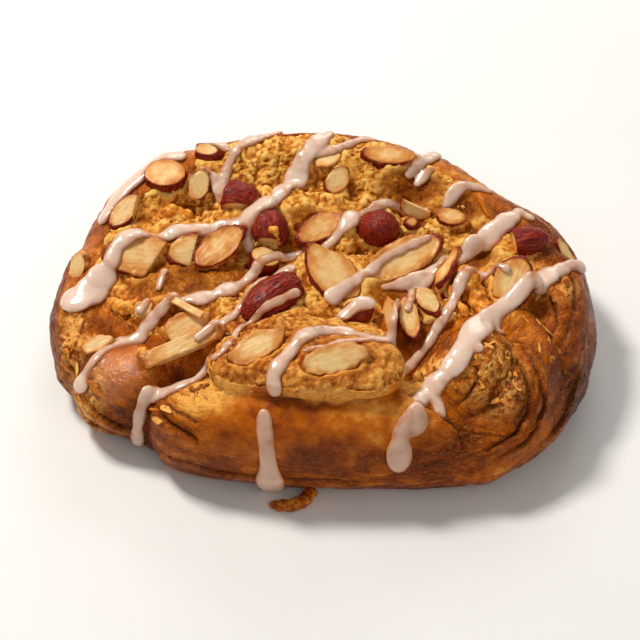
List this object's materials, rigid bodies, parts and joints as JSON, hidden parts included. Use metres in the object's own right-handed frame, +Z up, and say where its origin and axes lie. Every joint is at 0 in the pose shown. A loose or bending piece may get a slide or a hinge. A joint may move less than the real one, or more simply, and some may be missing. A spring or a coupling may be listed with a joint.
{
  "type": "bear claw pastry",
  "caption": "Baked bear claw pastry: rolls of laminated dough round an almond filling, topped with cut almonds and thick strands of icing.",
  "frame": {"origin": "on the floor under the middle of the pastry's outline, seen from above", "axes": "+X to the right along the pastry's length, +Y to the back, +Z up"},
  "size_m": [0.1545, 0.1148, 0.0432],
  "materials": {
    "baked_dough": "golden-brown baked dough with an egg wash, crossed by glossy pinkish-white icing",
    "filling": "baked almond filling, crumbly and golden on top and cream at its front, crossed by glossy pinkish-white icing",
    "almond": "cut almond, cream with toasted edges",
    "almond_skin": "dark red-brown almond skin, wrinkled lengthwise"
  },
  "bodies": {
    "root": {"dough": "baked_dough", "filling": "filling", "half_upright_left": "almond", "slice_upright_left": "almond", "wedge_left_back": "almond", "slice_left_rim": "almond", "slice_left_square": "almond", "slice_left_middle": "almond", "slice_left_oval": "almond", "chunk_dark_left": "almond_skin", "half_dark_back": "almond_skin", "chunk_light_middle": "almond", "slice_middle_back": "almond", "wedge_middle": "almond", "rounded_middle": "almond", "whole_middle": "almond_skin", "slice_large_right": "almond", "slice_back_right": "almond", "chip_curl_back": "almond", "chip_back": "almond", "skin_curl_back": "almond_skin", "chunk_back": "almond", "slice_right_back": "almond", "chunk_rough_right": "almond_skin", "wedge_right": "almond", "slice_standing_right": "almond", "slice_leaning_right": "almond", "chip_right": "almond", "slice_low_right": "almond", "slice_edge_right": "almond", "slice_nub_left": "almond", "slice_nub_right": "almond", "stick_left": "almond", "slice_behind_stick": "almond", "splinter_left": "almond", "slice_left_low": "almond", "chip_left": "almond", "broken_dark_middle": "almond_skin", "chunk_back_left": "almond", "slice_right_rim": "almond"}
  },
  "joints": []
}
